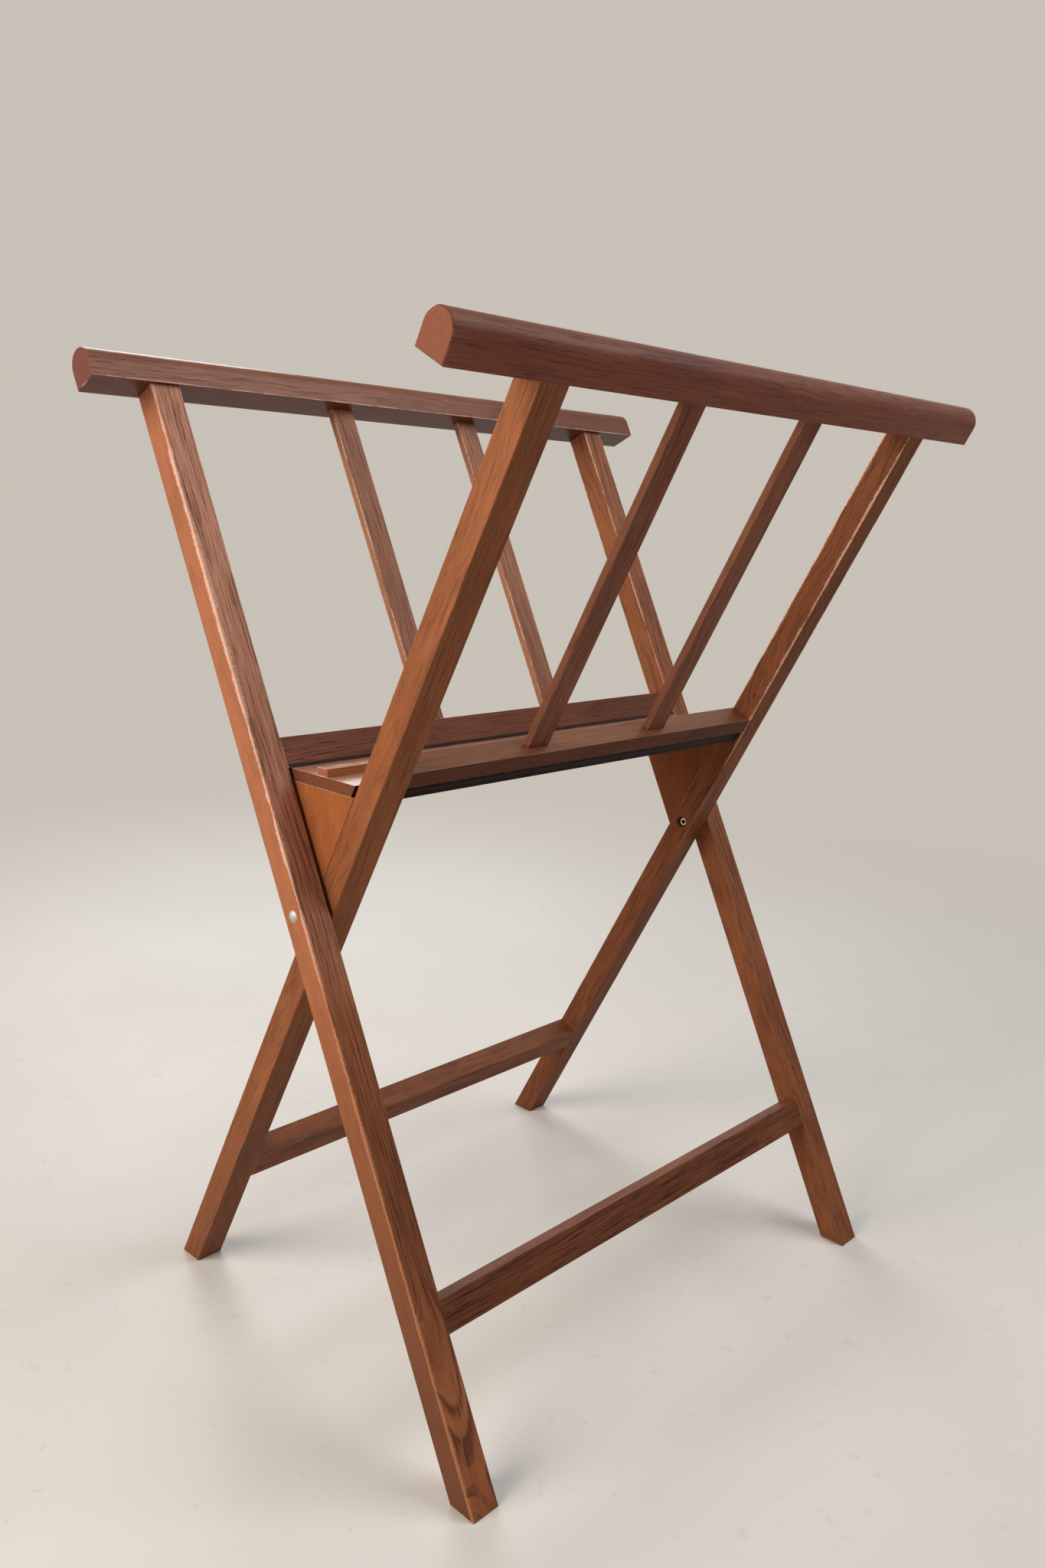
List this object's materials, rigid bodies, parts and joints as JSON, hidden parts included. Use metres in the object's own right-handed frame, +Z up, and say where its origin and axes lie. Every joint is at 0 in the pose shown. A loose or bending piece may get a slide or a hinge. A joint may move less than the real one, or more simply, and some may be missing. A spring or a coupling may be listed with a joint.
{
  "type": "folding magazine rack",
  "caption": "Folding X-frame rack of stained oak: two crossed frames on side pivots, with rounded top rails, spindles and a shelf that carries magazines or prints in the trough.",
  "frame": {"origin": "on the floor, under the pivot axis, midway between the front and back legs", "axes": "+Z up, +Y along the pivot axis and the rails from the front end to the back end, +X across the crossed legs, toward the foot of the outer frame"},
  "size_m": [0.4, 0.594, 0.7508],
  "materials": {
    "leg_oak": "stained oak, thin satin finish",
    "spindle_oak": "stained oak, thin satin finish",
    "top_rail_oak": "stained oak, thin satin finish",
    "cross_rail_oak": "stained oak, thin satin finish",
    "panel_oak": "stained oak, thin satin finish",
    "shelf_oak": "stained oak, thin satin finish",
    "strip_oak": "stained oak, thin satin finish",
    "dowel_beech": "plain beech",
    "rivet_zinc": "zinc plated",
    "washer_steel": "dull zinc plated",
    "pin_steel": "plain steel"
  },
  "bodies": {
    "inner_frame": {"inner_leg_front": "leg_oak", "inner_leg_back": "leg_oak", "inner_spindle_front": "spindle_oak", "inner_spindle_back": "spindle_oak", "inner_top_rail": "top_rail_oak", "inner_mid_rail": "cross_rail_oak", "inner_stretcher": "cross_rail_oak", "inner_top_dowels": "dowel_beech", "inner_mid_dowels": "dowel_beech", "inner_stretcher_dowels": "dowel_beech", "end_panel_front": "panel_oak", "end_panel_back": "panel_oak", "shelf": "shelf_oak", "shelf_strip": "strip_oak", "panel_dowels": "dowel_beech", "shelf_dowels": "dowel_beech", "strip_pins": "pin_steel"},
    "outer_frame": {"outer_leg_front": "leg_oak", "outer_leg_back": "leg_oak", "outer_spindle_front": "spindle_oak", "outer_spindle_back": "spindle_oak", "outer_top_rail": "top_rail_oak", "outer_mid_rail": "cross_rail_oak", "outer_stretcher": "cross_rail_oak", "outer_top_dowels": "dowel_beech", "outer_mid_dowels": "dowel_beech", "outer_stretcher_dowels": "dowel_beech", "pivot_rivets": "rivet_zinc", "pivot_washers": "washer_steel"}
  },
  "joints": [
    {"name": "fold", "type": "hinge", "parent": "inner_frame", "child": "outer_frame", "pos_m": [0, 0, 0.37], "axis": [0, 1, 0], "range_deg": [0, 42]}
  ]
}
